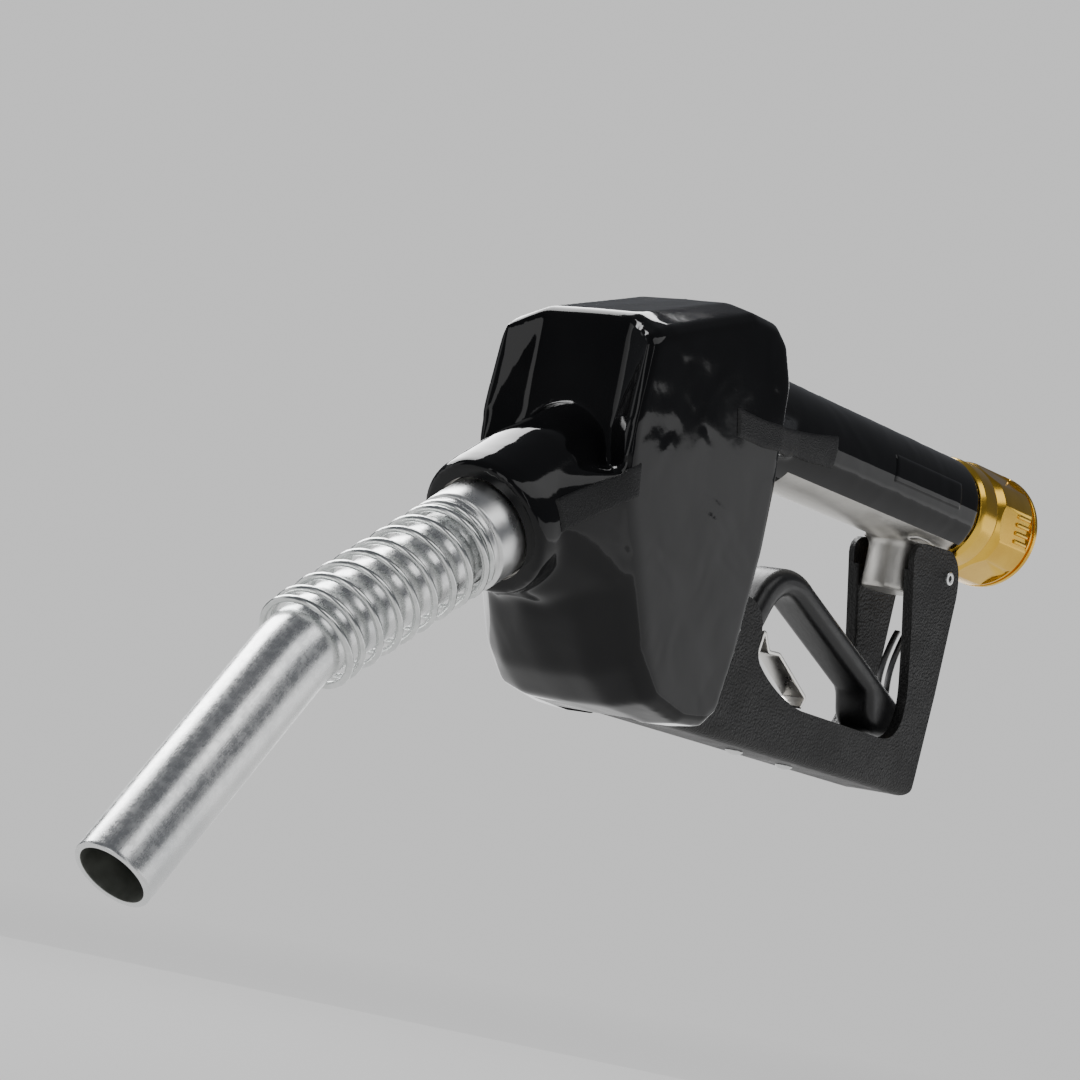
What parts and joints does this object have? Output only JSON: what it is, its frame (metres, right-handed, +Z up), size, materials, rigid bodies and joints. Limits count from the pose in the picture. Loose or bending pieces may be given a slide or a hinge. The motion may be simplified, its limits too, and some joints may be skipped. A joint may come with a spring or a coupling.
{
  "type": "fuel nozzle",
  "caption": "Automatic shut-off fuel nozzle with a sprung lever, guarded grip, vinyl head cover, coiled spout anchor and a turning hose swivel.",
  "frame": {"origin": "centre of the hose swivel's rear face, where the hose screws in", "axes": "+X forward along the handle towards the spout, +Y the nozzle's left side, +Z up, with the lever guard below the handle"},
  "size_m": [0.4238, 0.059, 0.2184],
  "materials": {
    "cast_aluminium": "satin",
    "black_vinyl": "gloss",
    "black_coat": "textured matte",
    "black_satin": "satin",
    "polished_metal": "polished",
    "zinc": "satin",
    "spring_steel": "bright",
    "gold_anodised": "bright anodised",
    "rubber": "matte",
    "brass": "turned",
    "nickel": "bright nickel",
    "dark_steel": "blued"
  },
  "bodies": {
    "nozzle": {"nozzle_body": "cast_aluminium", "body_cap": "cast_aluminium", "diaphragm_cap": "cast_aluminium", "scuff_cover": "black_vinyl", "lever_guard": "black_coat", "spout_tube": "polished_metal", "sensing_tube": "polished_metal", "spout_collar": "zinc", "spout_lock_screw": "zinc", "guard_roll_pin": "zinc", "guard_screw_left": "zinc", "guard_screw_right": "zinc", "rack_rivet_front": "zinc", "rack_rivet_rear": "zinc", "cap_screw_1": "zinc", "cap_screw_2": "zinc", "cap_screw_3": "zinc", "cap_screw_4": "zinc", "anchor_spring": "spring_steel", "main_spring": "spring_steel", "diaphragm_spring": "spring_steel", "plunger_spring": "spring_steel", "check_spring": "spring_steel", "inlet_strainer": "spring_steel", "swivel_front": "gold_anodised", "swivel_washer": "rubber", "body_cap_ring": "rubber", "stem_packing": "rubber", "diaphragm": "rubber", "packing_gland": "brass", "plunger_bushing": "brass", "check_seat": "brass", "hold_open_rack": "nickel"},
    "swivel": {"swivel_rear": "gold_anodised"},
    "plunger": {"latch_plunger": "polished_metal", "latch_roller_rear": "zinc", "latch_roller_front": "zinc", "lever_pivot_pin": "zinc"},
    "lever": {"lever": "black_satin", "clip_pin": "zinc"},
    "clip": {"hold_open_clip": "dark_steel"},
    "valve_stem": {"main_stem": "polished_metal", "poppet_seal": "rubber", "main_poppet": "brass"},
    "latch_pin": {"latch_pin": "polished_metal"},
    "check_valve": {"check_poppet": "brass"}
  },
  "joints": [
    {"name": "swivel_spin", "type": "hinge", "parent": "nozzle", "child": "swivel", "pos_m": [0.014, 0, 0], "axis": [1, 0, 0], "continuous": true},
    {"name": "plunger_trip", "type": "slide", "parent": "nozzle", "child": "plunger", "axis": [0, 0, -1], "range_m": [0, 0.0045], "stiffness_N_per_m": 600, "springref_m": -0.004, "deforming": ["plunger_spring"]},
    {"name": "lever_pull", "type": "hinge", "parent": "plunger", "child": "lever", "pos_m": [0.238, 0, -0.084], "axis": [0, 1, 0], "range_deg": [0, 9], "stiffness_Nm_per_rad": 1.2, "springref_deg": -20.05},
    {"name": "clip_fold", "type": "hinge", "parent": "lever", "child": "clip", "pos_m": [0.053, 0, -0.075], "axis": [0, -1, 0], "range_deg": [0, 54]},
    {"name": "stem_lift", "type": "slide", "parent": "nozzle", "child": "valve_stem", "axis": [0, 0, 1], "range_m": [0, 0.005], "deforming": ["main_spring"]},
    {"name": "latch_lift", "type": "slide", "parent": "nozzle", "child": "latch_pin", "axis": [0, 0, 1], "range_m": [0, 0.0028], "stiffness_N_per_m": 150, "springref_m": -0.002, "deforming": ["diaphragm", "diaphragm_spring"]},
    {"name": "check_open", "type": "slide", "parent": "nozzle", "child": "check_valve", "axis": [0.8211, 0, -0.5707], "range_m": [0, 0.005], "stiffness_N_per_m": 200, "springref_m": -0.004, "deforming": ["check_spring"]}
  ],
  "couplings": [
    {"joint": "stem_lift", "follows": "lever_pull", "m_per_rad": 0.0295},
    {"joint": "clip_fold", "follows": "lever_pull", "ratio": 6}
  ]
}
